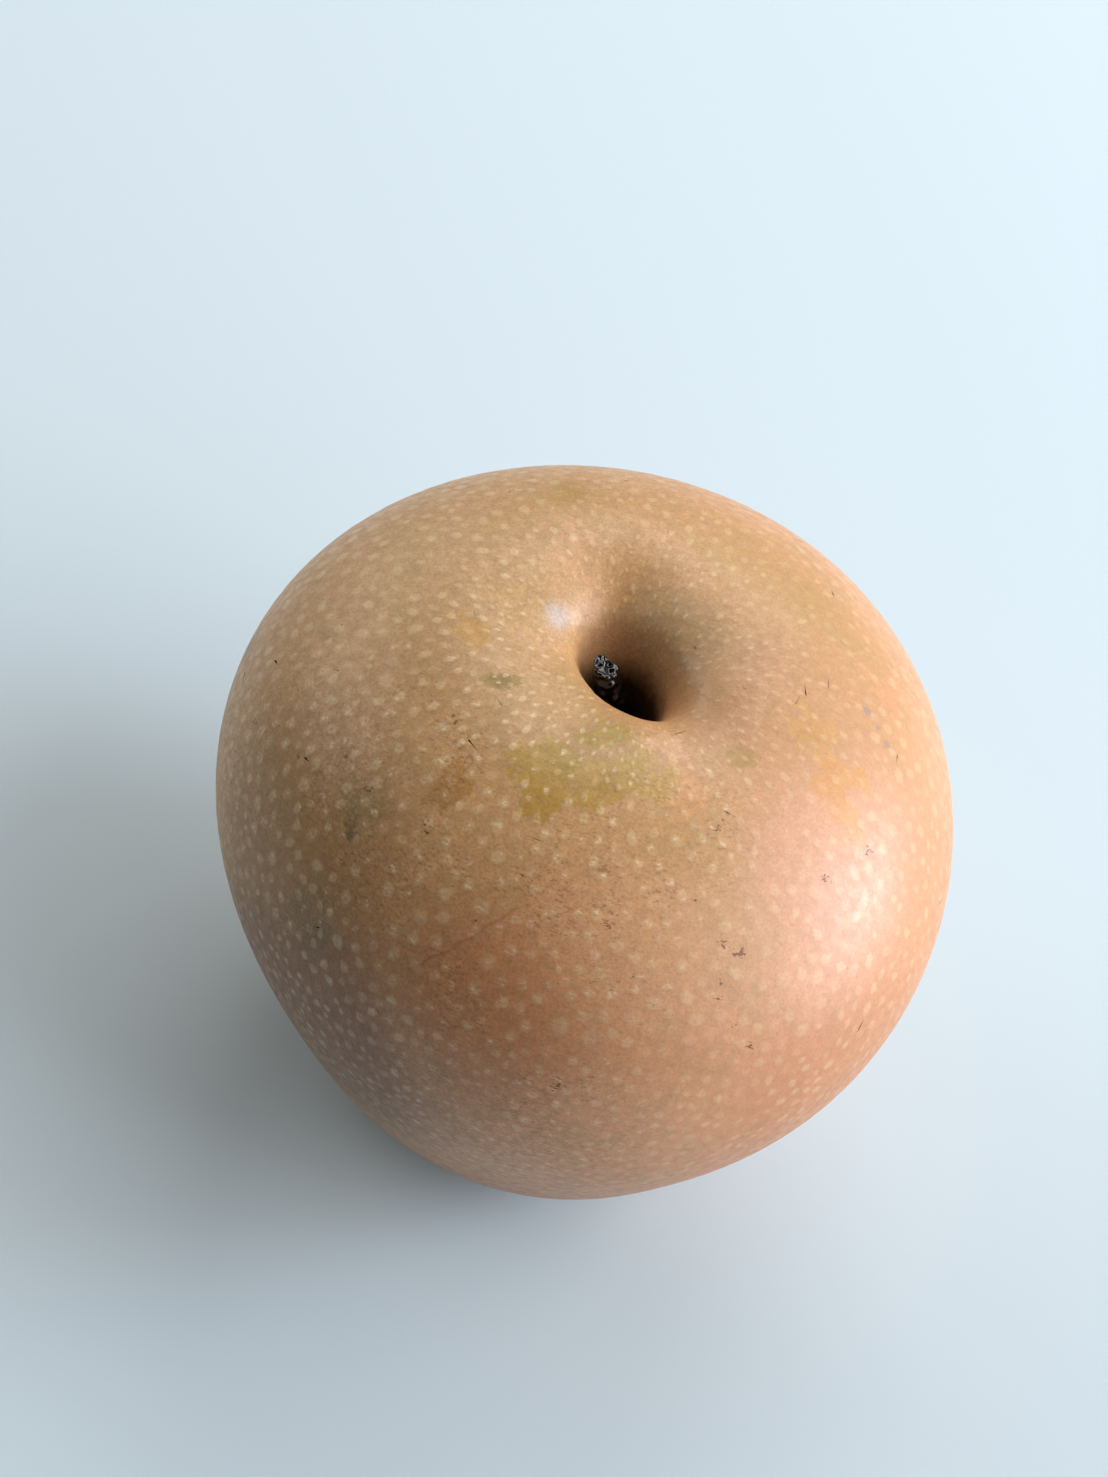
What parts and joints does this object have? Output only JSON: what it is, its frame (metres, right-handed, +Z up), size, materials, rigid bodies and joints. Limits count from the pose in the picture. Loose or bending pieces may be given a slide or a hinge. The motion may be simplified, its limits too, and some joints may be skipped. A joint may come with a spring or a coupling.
{
  "type": "pear",
  "caption": "Round russet pear with broad shoulders, a deep stem hollow holding a short dark stem stub, and a calyx basin whose flat rim it rests on.",
  "frame": {"origin": "centre of the bounding box on the plane that the fruit rests on", "axes": "+Z up from the calyx to the stem, +X to the right and +Y away from the viewer as the picture sees it"},
  "size_m": [0.0924, 0.0946, 0.0764],
  "materials": {
    "skin": "russet fruit skin, satin, with pale lenticels",
    "stem": "dried dark stem, rough with a slight shine",
    "calyx": "withered corky calyx, dull"
  },
  "bodies": {
    "root": {"fruit": "skin", "stem": "stem", "calyx": "calyx"}
  },
  "joints": []
}
